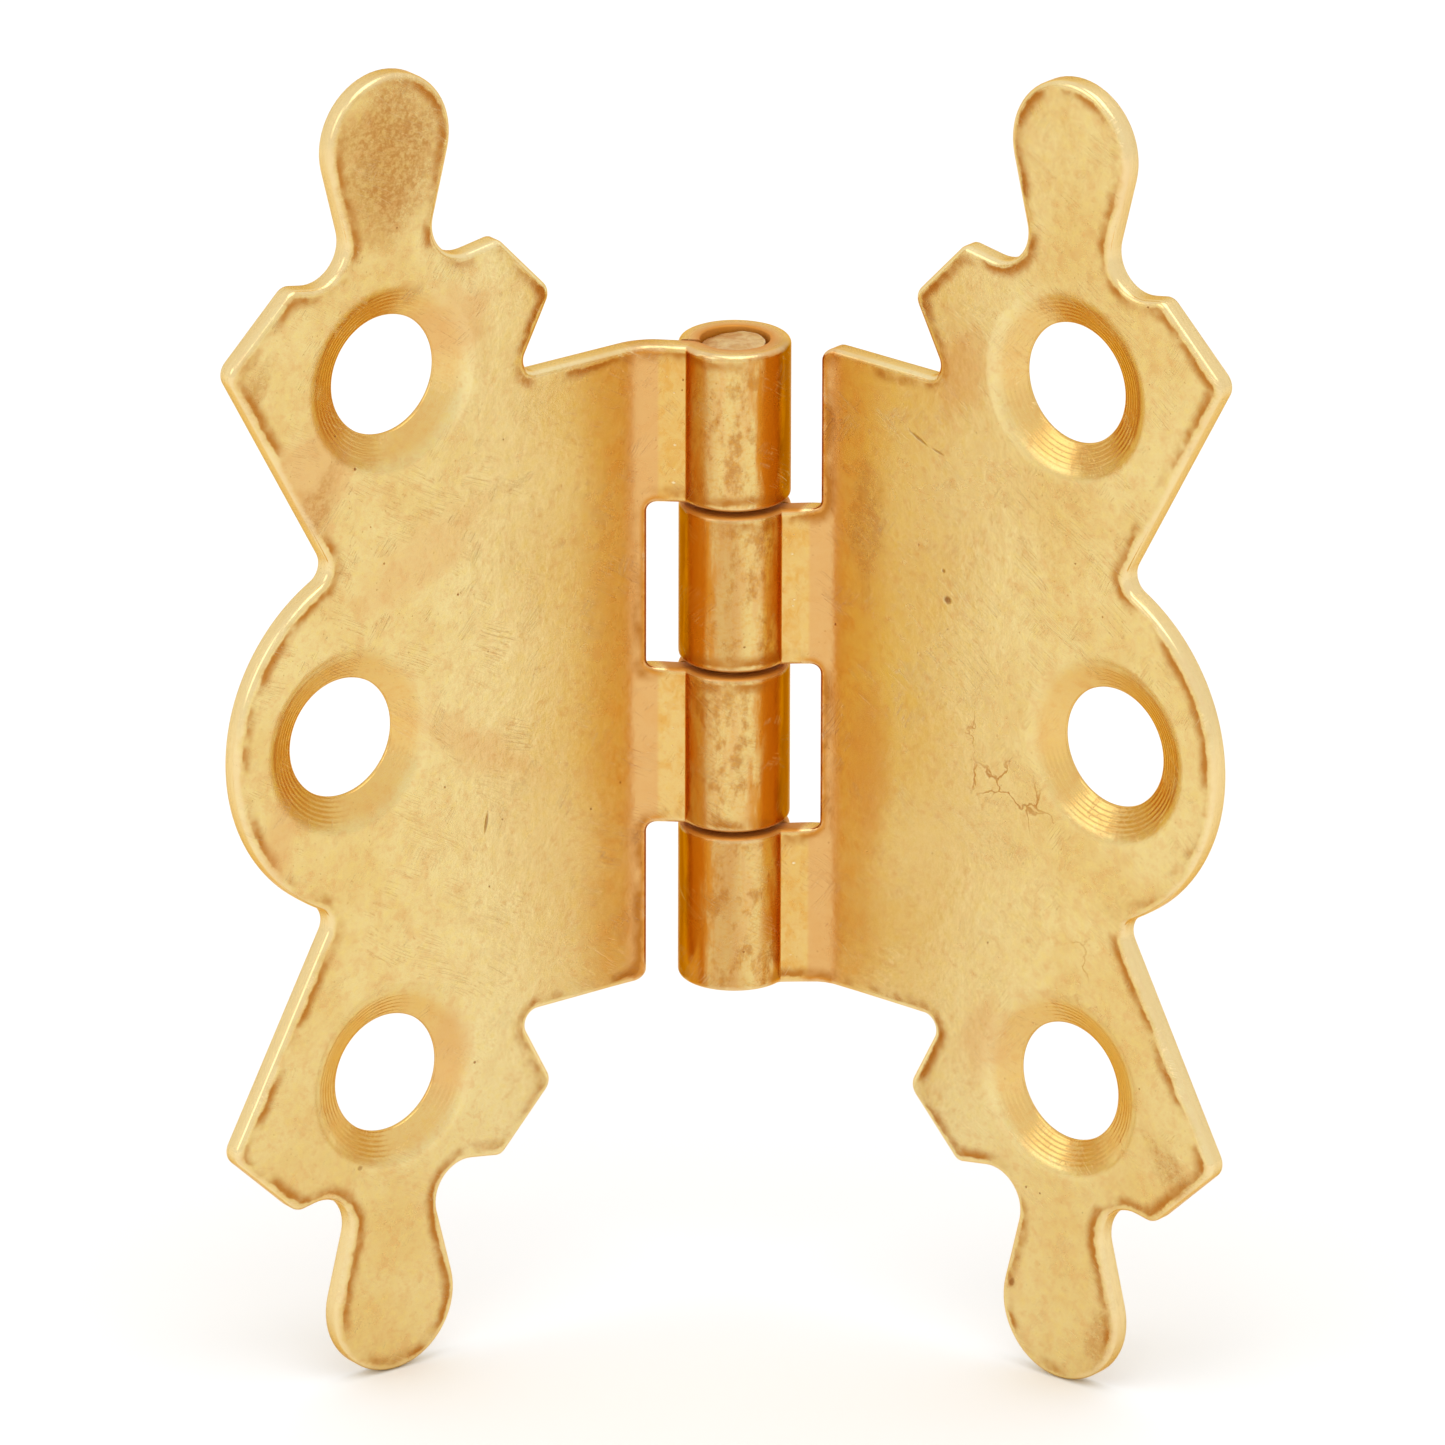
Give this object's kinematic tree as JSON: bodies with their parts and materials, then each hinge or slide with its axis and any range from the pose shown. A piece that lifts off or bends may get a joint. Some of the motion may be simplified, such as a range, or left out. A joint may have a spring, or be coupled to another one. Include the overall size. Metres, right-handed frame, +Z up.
{
  "type": "butterfly hinge",
  "caption": "Decorative butterfly hinge for a cabinet door: pressed leaves with finials, countersunk screw holes and rolled knuckles on a plain pin.",
  "frame": {"origin": "on the pin's axis, at half the barrel's length", "axes": "+Z up along the pin; the left leaf lies along -X and its back faces +Y; the right leaf stands folded 76.6 degrees forward of flat, towards -Y"},
  "size_m": [0.0288, 0.0229, 0.051],
  "materials": {
    "plated_sheet": "bright brass plating, worn and mottled",
    "pin_wire": "drawn wire, cut ends"
  },
  "bodies": {
    "left_leaf": {"left_leaf": "plated_sheet", "hinge_pin": "pin_wire"},
    "right_leaf": {"right_leaf": "plated_sheet"}
  },
  "joints": [
    {"name": "fold", "type": "hinge", "parent": "left_leaf", "child": "right_leaf", "pos_m": [0, 0, 0], "axis": [0, 0, -1], "range_deg": [-188, 103.4]}
  ]
}
